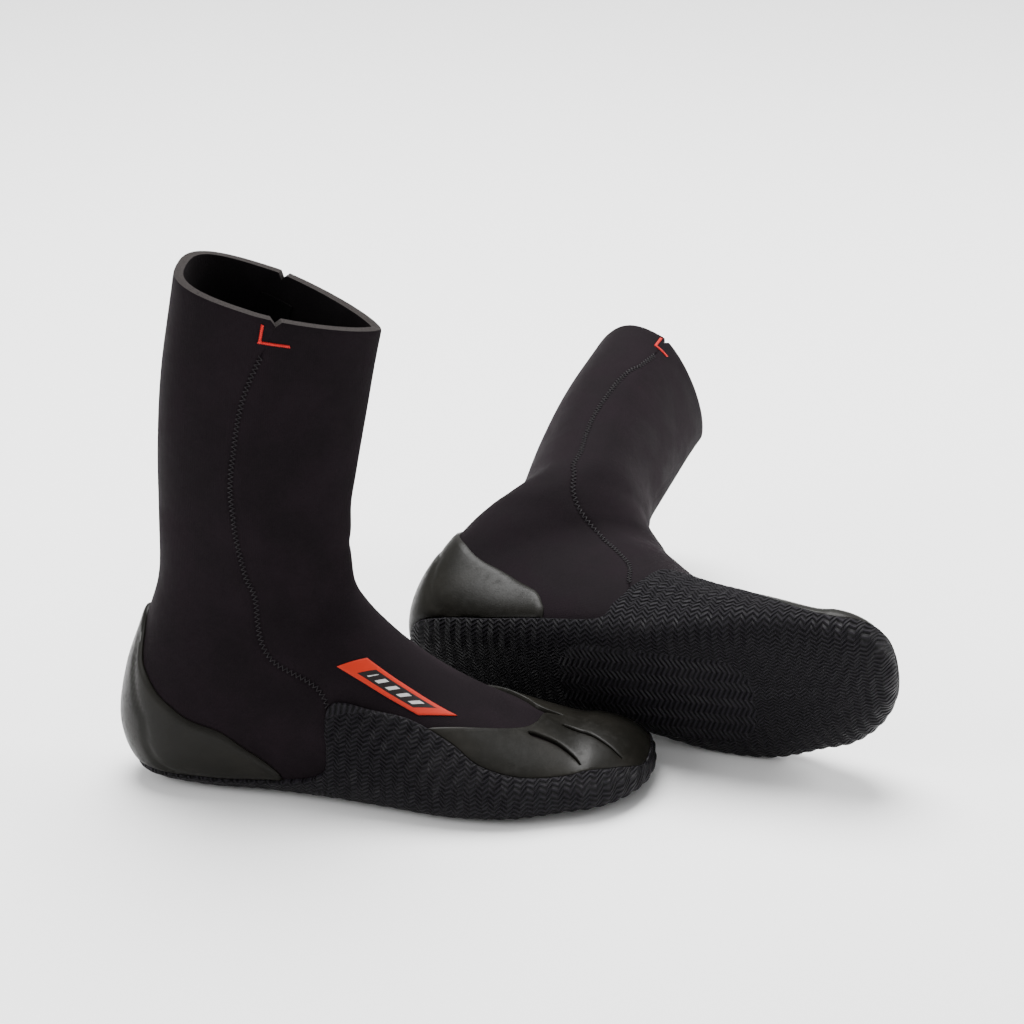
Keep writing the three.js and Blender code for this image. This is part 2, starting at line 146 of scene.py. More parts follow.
def last_point(table, station, turn):
    row = [between(table[:, column], np.maximum(station, 0)) for column in range(10)]
    c, s = -np.cos(np.radians(turn)), np.sin(np.radians(turn))
    rounding = 2 / np.where(c < 0, row[8], row[7])
    rise = np.sign(c) * np.abs(c) ** rounding
    q = rise - row[9] * (1 - rise ** 2)
    width = np.where(s > 0, row[4], row[5])
    x = (row[0] * (1 + q) + row[2] * (1 - q)) / 2
    z = (row[1] * (1 + q) + row[3] * (1 - q)) / 2
    return np.stack([x, row[6] + np.sign(s) * np.abs(s) ** rounding * width, z], axis=-1)


def crease(station, turn):
    """Soft folds of the foam in front of the ankle and at the back of the heel, in millimetres."""
    front = np.cos(np.radians((turn - 180) * 0.9)).clip(0) ** 2
    back = np.cos(np.radians(turn * 0.9)).clip(0) ** 2
    fold = lambda centre, wide: np.exp(-((station - centre) / wide) ** 2)
    slant = station + 0.25 * np.sin(np.radians(turn * 2 + 40))
    wave = 0.35 * np.sin(slant * 2.1 + 0.6) * smooth(station, 13, 17)
    return wave - front * (0.9 * fold(15.2, 0.45) + 0.6 * fold(16.6, 0.5)) - back * 0.8 * fold(15.7, 0.5)


def lifted_point(table, station, turn, lift):
    station, turn = np.asarray(station, float), np.asarray(turn, float)
    e = 1e-3
    point = last_point(table, station, turn)
    along = last_point(table, station + e, turn) - last_point(table, station - e, turn)
    degrees = math.degrees(e)
    round_it = last_point(table, station, turn + degrees) - last_point(table, station, turn - degrees)
    normal = np.cross(along, round_it)
    normal /= np.maximum(np.linalg.norm(normal, axis=-1, keepdims=True), 1e-12)
    normal = np.where((station < 0.02)[..., None], np.array([1.0, 0, 0]), normal)
    point = point + normal * (lift + crease(station, turn))[..., None]
    floor = SOLE_HEIGHT - lift
    pressed = (station < 13) & (point[..., 2] < floor)
    point[..., 2] = np.where(pressed, floor, point[..., 2])
    return point


print("toe tip at", lifted_point(last_sections(1), np.array([0.0]), np.array([0.0]), np.array([0.0])))

# %% [markdown]
# ## The two boots
# The right boot stands. The left one lies on its outer edge with its leg opened the other way and
# twisted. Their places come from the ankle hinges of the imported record, so the form lands exactly
# where the solids are.

# %% Place the boots
FLEX_X, FLEX_Z = 86.0, 100.0
BOOTS = [
    dict(name="right", side=-1, tilt=(0, 0, -6), squeeze=1.0, twist=0, lean=0, flex=0),
    dict(name="left", side=1, tilt=(-70.5, -3, -20), squeeze=0.75, twist=26, lean=5, flex=-8),
]


def turned(x, y, degrees):
    angle = np.radians(degrees)
    return x * np.cos(angle) - y * np.sin(angle), x * np.sin(angle) + y * np.cos(angle)


def pose_leg(point, boot):
    """Twist, sideways lean and forward flex of a soft leg over its foot."""
    point = point.copy()
    share = smooth(point[..., 2], 78, 138)
    height = np.maximum(point[..., 2] - 90, 0)
    x, y = turned(point[..., 0] - 74, point[..., 1], boot["twist"] * share)
    y = y + math.tan(math.radians(boot["lean"])) * height
    z, x = turned(point[..., 2] - FLEX_Z, x + 74 - FLEX_X, boot["flex"] * share)
    return np.stack([x + FLEX_X, y, z + FLEX_Z], axis=-1)


def to_frame(point, boot):
    point = point * np.array([1, boot["side"], 1]) / 1000
    return point @ boot["turn"].T + boot["origin"]


def on_boot(boot, station, turn, lift):
    lift = np.zeros(np.shape(station)) + lift
    return to_frame(pose_leg(lifted_point(boot["table"], station, turn, lift), boot), boot)


for boot in BOOTS:
    boot["table"] = last_sections(boot["squeeze"])
    boot["turn"] = np.array(Euler([math.radians(a) for a in boot["tilt"]], "XYZ").to_matrix())
    hinge = np.array(joints[boot["name"] + "_ankle_flex"]["pos_m"])
    boot["origin"] = hinge - boot["turn"] @ (np.array([FLEX_X, 0, FLEX_Z]) / 1000)
    boot["foot"], boot["shaft"] = boot["name"] + "_foot", boot["name"] + "_shaft"
    low, high = np.array([[64, 0, 93.0], [48.6, 0, 134.4]])
    boot["bend_from"], boot["bend_to"] = to_frame(low, boot), to_frame(high, boot)
    print(boot["name"], "origin", np.round(boot["origin"], 4))

# %% [markdown]
# ## Cutting a piece from a pattern
# A boot maker cuts flat patterns and pulls them over the last. The same is done here: an outline in
# stations and turns is filled with triangles by a Delaunay fill, laid on the last, and extruded to
# its thickness. A grid trimmed with Booleans would do too, but its edges would come out ragged.
# Near its outline the top face dips a little, which gives every piece a soft moulded or cut edge.

# %% Pattern outlines
PATTERN = np.array([25.0, 0.7])      # rough millimetres for one station and one degree of turn


def smooth_line(points, step=1.6):
    """A centripetal Catmull-Rom line through the points, in even steps."""
    p = np.array(points, float) * np.array([1, 0.1])
    ends = np.vstack([2 * p[0] - p[1], p, 2 * p[-1] - p[-2]])
    out = []
    for a, b, c, d in zip(ends, ends[1:], ends[2:], ends[3:]):
        t1 = np.linalg.norm(b - a) ** 0.5
        t2 = t1 + np.linalg.norm(c - b) ** 0.5
        t3 = t2 + np.linalg.norm(d - c) ** 0.5
        for t in np.linspace(t1, t2, 12, endpoint=False):
            a1 = a + (b - a) * t / t1
            a2 = b + (c - b) * (t - t1) / (t2 - t1)
            a3 = c + (d - c) * (t - t2) / (t3 - t2)
            b1 = a1 + (a2 - a1) * t / t2
            b2 = a2 + (a3 - a2) * (t - t1) / (t3 - t1)
            out.append(b1 + (b2 - b1) * (t - t1) / (t2 - t1))
    line = np.vstack([out, p[-1]]) * np.array([1, 10])
    return even(line, step)


def even(line, step=1.6):
    line = np.array(line, float)
    length = np.r_[0, np.cumsum(np.linalg.norm(np.diff(line * PATTERN, axis=0), axis=1))]
    count = max(int(math.ceil(length[-1] / step)), 1)
    at = np.linspace(0, length[-1], count + 1)
    return np.stack([np.interp(at, length, line[:, k]) for k in (0, 1)], axis=1)


def outline(*parts):
    """Joins lines into a closed outline. A part given as ("weld", line) is where a piece meets itself."""
    points, real = [], []
    for part in parts:
        welded = isinstance(part, tuple) and isinstance(part[0], str)
        line = part[1] if welded else part
        points.append(line[:-1])
        real += [not welded] * (len(line) - 1)
    return np.vstack(points), np.array(real)


print("outline tools ready")

# %% Fill a pattern with triangles
def distance_to(points, start, end):
    """Shortest distance from each point to a set of segments."""
    best = np.full(len(points), 1e9)
    for a, b in zip(start, end):
        along = b - a
        t = np.clip(((points - a) @ along) / max(along @ along, 1e-12), 0, 1)
        best = np.minimum(best, np.hypot(*(points - a - t[:, None] * along).T))
    return best


def inside(points, ring):
    hit = np.zeros(len(points), bool)
    for a, b in zip(ring, np.roll(ring, -1, axis=0)):
        crosses = (a[1] > points[:, 1]) != (b[1] > points[:, 1])
        if a[1] != b[1]:
            hit ^= crosses & (points[:, 0] < (b[0] - a[0]) * (points[:, 1] - a[1]) / (b[1] - a[1]) + a[0])
    return hit


def in_piece(points, rings):
    """True inside the first ring and outside all the others."""
    result = inside(points, rings[0])
    for hole in rings[1:]:
        result &= ~inside(points, hole)
    return result


def edge_points(rings, start, end, step):
    """A row of points just inside every edge."""
    rows = []
    for number, ring in enumerate(rings):
        after = np.roll(ring, -1, axis=0)
        tangent = after - np.roll(ring, 1, axis=0)
        normal = np.stack([-tangent[:, 1], tangent[:, 0]], axis=1)
        normal /= np.maximum(np.linalg.norm(normal, axis=1, keepdims=True), 1e-9)
        area = np.sum(ring[:, 0] * after[:, 1] - after[:, 0] * ring[:, 1])
        side = np.sign(area) if number == 0 else -np.sign(area)
        near = ring + normal * step * side
        rows.append(near[in_piece(near, rings) & (distance_to(near, start, end) > step * 0.93)])
    return np.vstack(rows)


def fill_pattern(rings, spacing, edge_steps):
    """Points and triangles that fill a closed ring round its holes, finer beside every edge."""
    start = np.vstack(rings)
    end = np.vstack([np.roll(ring, -1, axis=0) for ring in rings])
    low, high = start.min(axis=0), start.max(axis=0)
    rows = np.arange(low[1], high[1], spacing * 0.866)
    columns = np.arange(low[0], high[0], spacing)
    grid = np.array([(x + (k % 2) * spacing / 2, y) for k, y in enumerate(rows) for x in columns])
    grid = grid[in_piece(grid, rings)]
    clear = (edge_steps[-1] if edge_steps else 0) + spacing * 0.5
    points = [start, grid[distance_to(grid, start, end) > clear]]
    points += [edge_points(rings, start, end, step) for step in edge_steps]
    links, first = [], 0
    for ring in rings:
        n = len(ring)
        links += [(first + i, first + (i + 1) % n) for i in range(n)]
        first += n
    result = delaunay_2d_cdt([Vector(p) for p in np.vstack(points)], links, [], 1, 1e-5)
    flat = np.array([tuple(v) for v in result[0]])
    faces = np.array(result[2])
    return flat, faces[in_piece(flat[faces].mean(axis=1), rings)]


print("fill ready")

# %% Wrap a pattern round the last
GIRTH_STATIONS = np.linspace(0, 20, 201)
GIRTH_TURNS = np.linspace(-180, 180, 181)


def girth_table(table):
    """Arc length round each section from the sole line, so ribs keep an even spacing."""
    s, t = np.meshgrid(GIRTH_STATIONS, GIRTH_TURNS, indexing="ij")
    p = last_point(table, s, t)
    arc = np.cumsum(np.linalg.norm(np.diff(p, axis=1), axis=2), axis=1)
    arc = np.hstack([np.zeros((len(arc), 1)), arc])
    return arc - arc[:, 90:91]


for boot in BOOTS:
    boot["girth"] = girth_table(boot["table"])


def girth_at(boot, station, turn):
    i = np.clip(station * 10, 0, 199.999)
    j = np.clip((turn + 180) / 2, 0, 179.999)
    a, b = i.astype(int), j.astype(int)
    f, g = i - a, j - b
    table = boot["girth"]
    return (table[a, b] * (1 - f) * (1 - g) + table[a + 1, b] * f * (1 - g)
            + table[a, b + 1] * (1 - f) * g + table[a + 1, b + 1] * f * g)


def add_uv(bm, name, values, key):
    layer = bm.loops.layers.uv.new(name)
    for face in bm.faces:
        for loop in face.loops:
            loop[layer].uv = values[loop.vert[key]]


def wrap(name, boot, pattern, low, high, spacing=3.0, dip=0.8, dip_width=1.6, shape=None, holes=(),
         materials=(), rim=None):
    """Cuts a piece from its pattern and lays it on the boot between two lifts."""
    ring, real = pattern
    steps = [dip_width * 0.35, dip_width] if dip else []
    rings = [line * PATTERN for line in (ring, *holes)]
    flat, faces = fill_pattern(rings, spacing, steps)
    station, turn = (flat / PATTERN).T
    real = np.r_[real, np.ones(sum(map(len, holes)), bool)]
    ends = np.vstack([np.roll(line, -1, axis=0) for line in rings])
    edge = distance_to(flat, np.vstack(rings)[real], ends[real])
    top = np.full(len(flat), float(high))
    if dip:
        amount = np.where(station > 19.6, 0.35, 1.0) * dip
        top -= amount * (1 - np.sqrt(1 - (1 - np.clip(edge / dip_width, 0, 1)) ** 2))
    if shape:
        top += shape(station, turn, edge)
    bottom = np.full(len(flat), float(low))
    upper = on_boot(boot, station, turn, top)
    lower = on_boot(boot, station, turn, bottom)
    mesh = bpy.data.meshes.new(name)
    mesh.from_pydata(upper.tolist(), [], faces.tolist())
    bm = bmesh.new()
    bm.from_mesh(mesh)
    key = bm.verts.layers.int.new("key")
    for index, vert in enumerate(bm.verts):
        vert[key] = index
    plain = last_point(boot["table"], station, turn)
    add_uv(bm, "wrap", np.stack([plain[:, 0], girth_at(boot, station, turn)], axis=1) / 1000, key)
    add_uv(bm, "plan", plain[:, :2] / 1000, key)
    add_uv(bm, "chart", np.stack([station, turn / 10], axis=1), key)
    bmesh.ops.remove_doubles(bm, verts=bm.verts[:], dist=2e-6)
    top_faces = bm.faces[:]
    made = bmesh.ops.extrude_face_region(bm, geom=top_faces, use_keep_orig=True)["geom"]
    under = {item for item in made if isinstance(item, bmesh.types.BMFace)}
    for item in made:
        if isinstance(item, bmesh.types.BMVert):
            item.co = lower[item[key]]
    tops = set(top_faces)
    for face in bm.faces:
        face.smooth = True
        if face in under:
            face.material_index = 1
        elif face not in tops:
            collar = rim is not None and all(station[v[key]] > rim for v in face.verts)
            face.material_index = 2 if collar else 0
    bmesh.ops.recalc_face_normals(bm, faces=bm.faces[:])
    for line in bm.edges:
        line.smooth = len(line.link_faces) == 2 and line.calc_face_angle(0) < math.radians(45)
    bm.to_mesh(mesh)
    bm.free()
    piece = bpy.data.objects.new(name, mesh)
    bpy.context.scene.collection.objects.link(piece)
    for material in materials:
        mesh.materials.append(material)
    print(f"{name}: {len(mesh.polygons)} faces")
    return piece


print("wrap ready")

# %% [markdown]
# ## Finishes
# The foam is faced with a fine knitted jersey: near black, matt, with a faint sheen at grazing
# angles. A scan of real cloth could be mapped on, but a small knit drawn with waves stays sharp at
# every distance. The patterns read Object coordinates or the piece's own maps, all in metres.

# %% Node helpers
def new_material(name, color, roughness, specular=0.5, sheen=0.0):
    material = bpy.data.materials.new(name)
    material.use_nodes = True
    shader = material.node_tree.nodes["Principled BSDF"]
    shader.inputs["Base Color"].default_value = (*color, 1)
    shader.inputs["Roughness"].default_value = roughness
    shader.inputs["Specular IOR Level"].default_value = specular
    shader.inputs["Sheen Weight"].default_value = sheen
    shader.inputs["Sheen Roughness"].default_value = 0.4
    return material, Nodes(material.node_tree), shader


class Nodes:
    """Short calls for the few nodes that the finishes need."""

    def __init__(self, tree):
        self.tree = tree

    def make(self, kind, **settings):
        node = self.tree.nodes.new(kind)
        for key, value in settings.items():
            setattr(node, key, value)
        return node

    def join(self, value, socket):
        if isinstance(value, bpy.types.NodeSocket):
            self.tree.links.new(value, socket)
        elif value is not None:
            socket.default_value = value

    def math(self, operation, a, b=None, c=None):
        node = self.make("ShaderNodeMath", operation=operation)
        for value, socket in zip((a, b, c), node.inputs):
            self.join(value, socket)
        return node.outputs[0]

    def uv(self, name):
        node = self.make("ShaderNodeUVMap", uv_map=name)
        split = self.make("ShaderNodeSeparateXYZ")
        self.join(node.outputs[0], split.inputs[0])
        return split.outputs[0], split.outputs[1]

    def spot(self):
        return self.make("ShaderNodeTexCoord").outputs["Object"]

    def noise(self, scale, detail=2.0, vector=None, roughness=0.5):
        node = self.make("ShaderNodeTexNoise")
        self.join(vector or self.spot(), node.inputs["Vector"])
        node.inputs["Scale"].default_value = scale
        node.inputs["Detail"].default_value = detail
        node.inputs["Roughness"].default_value = roughness
        return node.outputs["Fac"]

    def fade(self, value, low, high, to_low=0.0, to_high=1.0):
        node = self.make("ShaderNodeMapRange", interpolation_type="SMOOTHSTEP")
        for item, socket in zip((value, low, high, to_low, to_high), node.inputs):
            self.join(item, socket)
        return node.outputs[0]

    def blend(self, factor, first, second):
        node = self.make("ShaderNodeMix", data_type="RGBA")
        self.join(factor, node.inputs["Factor"])
        self.join((*first, 1) if isinstance(first, tuple) else first, node.inputs["A"])
        self.join((*second, 1) if isinstance(second, tuple) else second, node.inputs["B"])
        return node.outputs["Result"]

    def bump(self, height, distance, shader, strength=1.0, under=None):
        node = self.make("ShaderNodeBump")
        node.inputs["Strength"].default_value = strength
        node.inputs["Distance"].default_value = distance
        self.join(height, node.inputs["Height"])
        if under is not None:
            self.join(under, node.inputs["Normal"])
        self.join(node.outputs[0], shader.inputs["Normal"])
        return node.outputs[0]


print("node helpers ready")

# %% Knitted jersey on foam
def jersey_finish(name, color, lighter, pitch, sheen):
    material, nodes, shader = new_material(name, color, 0.85, specular=0.04, sheen=sheen)
    shader.inputs["Sheen Tint"].default_value = (0.75, 0.62, 0.66, 1)
    along, across = nodes.uv("wrap")
    column = nodes.math("PINGPONG", nodes.math("DIVIDE", across, pitch), 0.5)
    slant = nodes.math("MULTIPLY_ADD", column, 1.2, nodes.math("DIVIDE", along, pitch * 0.8))
    row = nodes.math("PINGPONG", slant, 0.5)
    knit = nodes.math("MULTIPLY", column, row)
    patch = nodes.fade(nodes.noise(38, 4), 0.35, 0.7)
    fluff = nodes.noise(2600, 2)
    shade = nodes.math("MULTIPLY_ADD", fluff, 0.5, nodes.math("MULTIPLY", patch, 0.6))
    nodes.join(nodes.blend(shade, color, lighter), shader.inputs["Base Color"])
    nodes.join(nodes.fade(patch, 0, 1, 0.74, 0.9), shader.inputs["Roughness"])
    soft = nodes.bump(nodes.noise(60, 3), 0.0012, shader, 0.35)
    height = nodes.math("MULTIPLY_ADD", knit, 2.0, fluff)
    nodes.bump(height, 0.00018, shader, 0.8, under=soft)
    return material


upper_jersey = jersey_finish("upper_jersey", (0.0036, 0.0024, 0.0032), (0.0085, 0.006, 0.0076),
                             pitch=0.0011, sheen=0.02)
lining_pile = jersey_finish("lining_pile", (0.0036, 0.003, 0.0034), (0.009, 0.0078, 0.0086),
                            pitch=0.0016, sheen=0.02)
print("jersey:", upper_jersey.name, lining_pile.name)

# %% [markdown]
# The cut edge of the collar shows the foam itself, a dark grey sponge with tiny cells. The moulded
# rubber is smooth and satin, a dark olive grey, with faint scuffs that change its gloss.

# %% Foam edge and smooth rubber
def foam_finish():
    material, nodes, shader = new_material("cut_foam", (0.03, 0.026, 0.026), 0.9, specular=0.1)
    cells = nodes.make("ShaderNodeTexVoronoi")
    nodes.join(nodes.spot(), cells.inputs["Vector"])
    cells.inputs["Scale"].default_value = 1500
    color = nodes.blend(cells.outputs["Distance"], (0.028, 0.024, 0.023), (0.009, 0.0075, 0.0075))
    nodes.join(color, shader.inputs["Base Color"])
    nodes.bump(cells.outputs["Distance"], 0.0003, shader, 0.7)
    return material


def smooth_rubber_finish():
    material, nodes, shader = new_material("smooth_rubber", (0.01, 0.01, 0.008), 0.42, specular=0.1)
    cloud = nodes.fade(nodes.noise(30, 5), 0.35, 0.7)
    color = nodes.blend(cloud, (0.0052, 0.0049, 0.0039), (0.009, 0.0083, 0.0067))
    nodes.join(color, shader.inputs["Base Color"])
    scuff = nodes.fade(nodes.noise(240, 6, roughness=0.7), 0.45, 0.7)
    nodes.join(nodes.math("MULTIPLY_ADD", scuff, 0.14, 0.36), shader.inputs["Roughness"])
    grain = nodes.math("MULTIPLY_ADD", nodes.noise(900, 2), 0.4, nodes.noise(70, 2))
    nodes.bump(grain, 0.0004, shader, 0.3)
    return material


cut_foam = foam_finish()
smooth_rubber = smooth_rubber_finish()
print("rubber:", smooth_rubber.name)

# %% [markdown]
# The outsole is moulded with fine zigzag ribs 2.3 mm apart. They run along the foot on the flanks
# and the forefoot, and across it on a rounded field under the arch. Modelling ribs this small would
# take millions of faces, so they are a bump drawn on the piece's own map of length and girth; the
# broader flex ridges, 8 mm apart, are real shape and come with the mesh. The ribs' colour holds
# painted light: it is darker in their valleys as painted shade and lighter on their crests as painted
# highlight.

# %% Ribbed outsole rubber
ARCH_MIDDLE = (0.15, 0.008)      # the rounded field: metres along and across the foot
ARCH_HALF = (0.034, 0.009)
ARCH_ROUNDING = 0.02


def zigzag(nodes, along, tooth, across, row):
    """Ribs one row apart that sway to one side and back with every tooth."""
    sway = nodes.math("PINGPONG", nodes.math("DIVIDE", along, tooth), 0.5)
    line = nodes.math("MULTIPLY_ADD", sway, 2.0, nodes.math("DIVIDE", across, row))
    return nodes.math("PINGPONG", line, 0.5)


def outside_band(nodes, value, middle, half):
    """How far a value lies outside a band round its middle."""
    away = nodes.math("ABSOLUTE", nodes.math("SUBTRACT", value, middle))
    return nodes.math("MAXIMUM", nodes.math("SUBTRACT", away, half), 0)


def ribbed_finish():
    material, nodes, shader = new_material("ribbed_rubber", (0.004, 0.004, 0.005), 0.55, specular=0.1)
    along, round_it = nodes.uv("wrap")
    x, y = nodes.uv("plan")
    flank = zigzag(nodes, along, 0.0062, round_it, 0.0023)
    arch = zigzag(nodes, y, 0.012, x, 0.0029)
    far_x = outside_band(nodes, x, ARCH_MIDDLE[0], ARCH_HALF[0])
    far_y = outside_band(nodes, y, ARCH_MIDDLE[1], ARCH_HALF[1])
    square = lambda value: nodes.math("POWER", value, 2)
    far = nodes.math("SQRT", nodes.math("ADD", square(far_x), square(far_y)))
    field = nodes.fade(far, ARCH_ROUNDING - 0.0005, ARCH_ROUNDING + 0.0005, 1, 0)
    rib = nodes.math("ADD", nodes.math("MULTIPLY", flank, nodes.math("SUBTRACT", 1.0, field)),
                     nodes.math("MULTIPLY", arch, field))
    rib = nodes.math("MULTIPLY", rib, 2.0)
    # Painted shade and highlight: the rubber's colour is darker in the rib valleys and lighter on the rib
    # crests.
    color = nodes.blend(nodes.fade(rib, 0.1, 0.9), (0.0008, 0.0007, 0.001), (0.0092, 0.008, 0.0105))
    dust = nodes.fade(nodes.noise(45, 5), 0.45, 0.75)
    # Random dust patches lighten this colour, which already holds the painted rib shade and highlight.
    rib_shade_and_dust = nodes.blend(nodes.math("MULTIPLY", dust, 0.25), color, (0.012, 0.011, 0.012))
    nodes.join(rib_shade_and_dust, shader.inputs["Base Color"])
    nodes.join(nodes.fade(nodes.noise(120, 3), 0.3, 0.7, 0.48, 0.66), shader.inputs["Roughness"])
    nodes.bump(nodes.math("ADD", rib, nodes.math("MULTIPLY", field, 0.6)), 0.001, shader, 1.0)
    return material


ribbed_rubber = ribbed_finish()
print("outsole:", ribbed_rubber.name)

# %% Thread, tape and label finishes
def thread_finish(name, color, bright):
    material, nodes, shader = new_material(name, color, 0.6, specular=0.2, sheen=0.03)
    nodes.join(nodes.blend(nodes.noise(3000, 2), color, bright), shader.inputs["Base Color"])
    nodes.bump(nodes.noise(5000, 1), 0.0001, shader, 0.6)
    return material


def label_finish():
    """An orange-red badge with a dark slanted field and a row of pale bars, all generic shapes."""
    material, nodes, shader = new_material("label_print", (0.5, 0.04, 0.01), 0.5, specular=0.2)
    u, v = nodes.uv("badge")
    box = lambda a, low, high: nodes.math(
        "MULTIPLY", nodes.math("GREATER_THAN", a, low), nodes.math("LESS_THAN", a, high))
    field = nodes.math("MULTIPLY", box(u, 0.22, 0.88), box(v, 0.2, 0.8))
    wave = nodes.math("PINGPONG", nodes.math("MULTIPLY_ADD", v, 0.35, nodes.math("MULTIPLY", u, 8.0)), 0.5)
    bars = nodes.math("MULTIPLY", nodes.math("GREATER_THAN", wave, 0.3),
                      nodes.math("MULTIPLY", box(u, 0.3, 0.82), box(v, 0.33, 0.68)))
    cloud = nodes.noise(400, 3)
    orange = nodes.blend(nodes.fade(u, 0.0, 1.0), (0.36, 0.014, 0.0015), (0.33, 0.016, 0.006))
    dark = nodes.blend(cloud, (0.004, 0.002, 0.002), (0.009, 0.006, 0.006))
    pale = nodes.blend(cloud, (0.3, 0.3, 0.3), (0.45, 0.45, 0.44))
    color = nodes.blend(bars, nodes.blend(field, orange, dark), pale)
    nodes.join(color, shader.inputs["Base Color"])
    nodes.bump(nodes.math("ADD", nodes.math("MULTIPLY", cloud, 0.3), bars), 0.0001, shader, 0.4)
    return material


black_thread = thread_finish("black_thread", (0.004, 0.003, 0.004), (0.016, 0.0135, 0.0155))
red_thread = thread_finish("red_thread", (0.36, 0.006, 0.006), (0.6, 0.02, 0.014))
tape_weave = jersey_finish("tape_weave", (0.003, 0.0028, 0.003), (0.0075, 0.007, 0.0075),
                           pitch=0.0009, sheen=0.01)
label_print = label_finish()
print("small finishes ready")

# %% [markdown]
# ## The foam upper
# The front panel covers the toes, the instep and the shin; the rear panel covers the heel and the
# calf. Both are 5 mm foam and meet in side seams that swing back at the ankle. The panels run
# through the ankle in one piece, shaped by the leg's rest pose, and stay fixed, tied to neither the foot
# nor the shaft.
# A cloth simulation would suit a thin sheet; this foam is stiff enough to hold the last's shape.

# %% Seam lines and outlines
OUTER_SEAM = [(20, 108.5), (19.9, 108), (18.7, 93), (17.5, 89), (15.9, 98), (15, 106), (12.5, 114),
              (9.9, 116), (9.3, 104), (9, 78), (8.9, 49)]
INNER_SEAM = [(20, -99.5), (19.5, -98), (18.8, -86), (18.1, -79), (17.2, -73), (16, -76),
              (14.5, -102), (13.1, -117), (11.4, -125), (9.3, -118), (8.7, -100), (8.4, -75),
              (8.3, -50)]
SOLE_FRONT = [(8.9, 49), (6.5, 54), (3.5, 50), (1.8, 38), (1.3, 0)]
SOLE_FRONT_INNER = [(1.3, 0), (1.8, -38), (3.5, -50), (6.5, -54), (8.3, -50)]
SOLE_HEEL = [(8.9, 49), (11, 44), (11.8, 24), (11.95, 0), (11.8, -24), (11, -44), (8.3, -50)]


def mirror_turn(points):
    """The same line counted on past 180 degrees of turn."""
    return [(station, turn + 360) for station, turn in points]


outer, inner = smooth_line(OUTER_SEAM), smooth_line(INNER_SEAM)
NOTCH = 19.93       # the panels' corners are cut back to this station in a small V at the collar
collar_front = even([(NOTCH, outer[0, 1] + 0.4), (20, outer[0, 1] + 2), (20, 258.5), (NOTCH, 260.1)], 3)
collar_rear = even([(NOTCH, inner[0, 1] + 0.4), (20, inner[0, 1] + 2), (20, outer[0, 1] - 2),
                    (NOTCH, outer[0, 1] - 0.4)], 3)
to_corner = lambda line: np.vstack([[NOTCH, line[0, 1]], line[line[:, 0] < NOTCH - 0.03]])
outer_line, inner_line = to_corner(outer), to_corner(inner)
full_turn = np.array([0, 360])
front_pattern = outline(
    collar_front, inner_line + full_turn, smooth_line(mirror_turn(SOLE_FRONT_INNER))[::-1],
    ("weld", even([(1.3, 360), (0, 360)])), ("weld", even([(0, 360), (0, 0)], 6)),
    ("weld", even([(0, 0), (1.3, 0)])), smooth_line(SOLE_FRONT)[::-1], outer_line[::-1])
rear_pattern = outline(collar_rear, outer_line, smooth_line(SOLE_HEEL), inner_line[::-1])
sole_pattern = outline(smooth_line(SOLE_FRONT), smooth_line(SOLE_FRONT_INNER), smooth_line(SOLE_HEEL)[::-1])
print("outlines:", len(front_pattern[0]), len(rear_pattern[0]), len(sole_pattern[0]))

# %% Make the foam panels
def bend_at_ankle(piece):
    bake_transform(piece)


foam_set = (upper_jersey, lining_pile, cut_foam)
for boot in BOOTS:
    n = boot["name"]
    for part, pattern in (("front", front_pattern), ("rear", rear_pattern)):
        panel = wrap(f"{n}_upper_{part}", boot, pattern, -5, 0, spacing=2.6, dip=1.0, dip_width=1.8,
                     materials=foam_set, rim=19.8)
        bend_at_ankle(panel)
        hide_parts(*[f"{n}_{part}_panel_{zone}" for zone in ("foot", "ankle", "shaft")])
    sole = wrap(f"{n}_sole_foam", boot, sole_pattern, -5, -0.05, spacing=5, dip=0.5, materials=foam_set)
    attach(sole, boot["foot"])
    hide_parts(f"{n}_sole_panel")

# %% Insoles
INSOLE_EDGE = [(2.4, 0), (2.8, 26), (4, 36), (6.5, 41), (9, 37), (10.8, 30), (11.3, 14), (11.35, 0),
               (11.3, -14), (10.8, -30), (9, -37), (6.5, -41), (4, -36), (2.8, -26), (2.4, 0)]
for boot in BOOTS:
    insole = wrap(f"{boot['name']}_lining_insole", boot, outline(smooth_line(INSOLE_EDGE)), -8.2, -5.4,
                  spacing=5, dip=0, materials=(lining_pile, lining_pile))
    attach(insole, boot["foot"])
    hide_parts(f"{boot['name']}_insole")

# %% [markdown]
# ## The moulded rubber
# One moulding forms the sole and its side flaps, which rise round the ball of the foot. Its ribs are
# in the finish; its broad slanting ridges, where the sole flexes, are shaped here with a wave that
# only ever cuts below the full thickness, so the sole still lies flat on the floor.

# %% Outsole
OUTSOLE_OUTER = [(1, 180), (1.15, 145), (1.6, 121), (2.9, 123), (4.4, 122), (5.6, 114), (6.4, 117),
                 (7, 127), (7.6, 129), (8.6, 121), (9.4, 114), (9.35, 98), (9.1, 80), (9.7, 58),
                 (11.2, 41), (11.9, 28), (12.2, 0)]
OUTSOLE_INNER = [(12.2, 0), (11.9, -28), (11.2, -41), (9.8, -52), (8.8, -60), (8.6, -80),
                 (8.4, -100), (8.1, -126), (7.4, -129), (6.7, -124), (6, -106), (5.3, -94),
                 (3.9, -88), (2.8, -94), (1.6, -116), (1.15, -145), (1, -180)]
outsole_line = smooth_line(OUTSOLE_OUTER + OUTSOLE_INNER[1:], 1.2)
outsole_pattern = outline(
    ("weld", even([(0, -180), (0, 180)], 6)), ("weld", even([(0, 180), (1, 180)])), outsole_line,
    ("weld", even([(1, -180), (0, -180)])))


RIDGE_PITCH = 8.0
RIDGE_SLANT = 0.55        # how far a ridge moves forward for each millimetre it climbs


